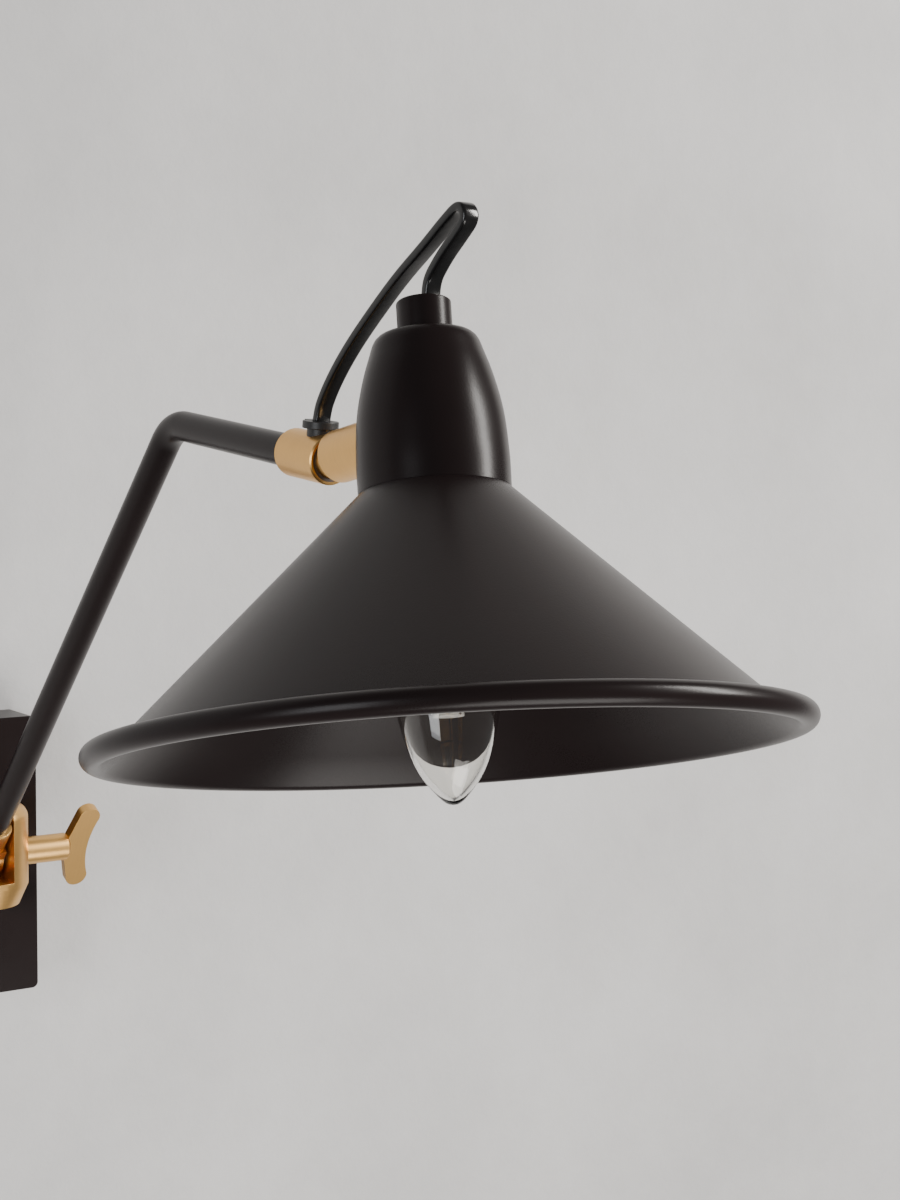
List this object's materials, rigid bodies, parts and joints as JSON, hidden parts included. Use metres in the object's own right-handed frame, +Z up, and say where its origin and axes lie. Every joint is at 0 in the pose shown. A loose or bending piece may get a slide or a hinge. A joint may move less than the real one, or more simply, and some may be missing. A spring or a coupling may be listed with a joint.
{
  "type": "swing arm wall sconce",
  "caption": "Wall sconce: black wall box, brass swivel fork with wing screw, bent tube arm, brass ball joint, bell and wide cone shade with a candle bulb.",
  "frame": {"origin": "middle of the wall box's back face, on the wall", "axes": "+Z up, -Y straight out of the wall, +X to the right for someone facing the wall"},
  "size_m": [0.228, 0.5907, 0.36],
  "materials": {
    "black_paint": "satin near-black powder coat",
    "zinc_steel": "zinc plated",
    "black_steel": "blackened",
    "brass": "satin turned brass",
    "contact_brass": "plain",
    "washer_plastic": "plain",
    "white_plastic": "plain",
    "black_plastic": "satin",
    "cap_metal": "plain",
    "bulb_glass": "clear",
    "stem_glass": "clear",
    "filament": "phosphor coating",
    "cable_rubber": "glossy flat sheath"
  },
  "bodies": {
    "wall_base": {"backplate": "black_paint", "mounting_bracket": "zinc_steel", "cover_screws": "black_steel", "terminal_block": "white_plastic", "terminal_screws": "zinc_steel", "earth_screw": "zinc_steel", "wall_stem": "brass", "stem_washer": "zinc_steel", "stem_nut": "zinc_steel"},
    "fork": {"swivel_fork": "brass", "swing_pin": "brass", "swing_washers": "washer_plastic", "friction_washers": "washer_plastic", "clamp_nut": "brass"},
    "wing_screw_body": {"wing_screw": "brass"},
    "arm": {"arm_knuckle": "brass", "arm_tube": "black_paint"},
    "wrist": {"swivel_sleeve": "brass", "sleeve_grub_screw": "black_steel", "ball_seat": "washer_plastic", "cable_grommet": "black_plastic"},
    "head": {"ball_stud": "brass", "side_barrel": "brass", "barrel_screw": "zinc_steel", "barrel_washer": "zinc_steel", "shade_bell": "black_paint", "cone_shade": "black_paint", "cable_collar": "black_paint", "collar_nut": "zinc_steel", "threaded_nipple": "zinc_steel", "holder_body": "black_plastic", "holder_cap": "black_plastic", "shade_ring": "black_plastic", "holder_contact": "contact_brass", "bulb_cap": "cap_metal", "bulb_contact": "cap_metal", "bulb_glass": "bulb_glass", "bulb_stem": "stem_glass", "filaments": "filament", "loop_cable": "cable_rubber"}
  },
  "joints": [
    {"name": "swing", "type": "hinge", "parent": "wall_base", "child": "fork", "pos_m": [0, -0.05615, -0.0097], "axis": [0, 0, 1], "range_deg": [-45, 16]},
    {"name": "arm_lift", "type": "hinge", "parent": "fork", "child": "arm", "pos_m": [0, -0.05615, 0.0072], "axis": [-1, 0, 0], "range_deg": [-44, 40]},
    {"name": "wing_turn", "type": "hinge", "parent": "fork", "child": "wing_screw_body", "pos_m": [0, -0.05615, 0.0072], "axis": [1, 0, 0], "range_deg": [-180, 180]},
    {"name": "sleeve_swivel", "type": "hinge", "parent": "arm", "child": "wrist", "pos_m": [0, -0.39251, 0.2065], "axis": [0, -0.9945, -0.1045], "range_deg": [-60, 60]},
    {"name": "shade_tilt", "type": "hinge", "parent": "wrist", "child": "head", "pos_m": [0, -0.39251, 0.2065], "axis": [-0.9959, -0.0094, 0.0895], "range_deg": [-41, 8], "deforming": ["loop_cable"]}
  ]
}
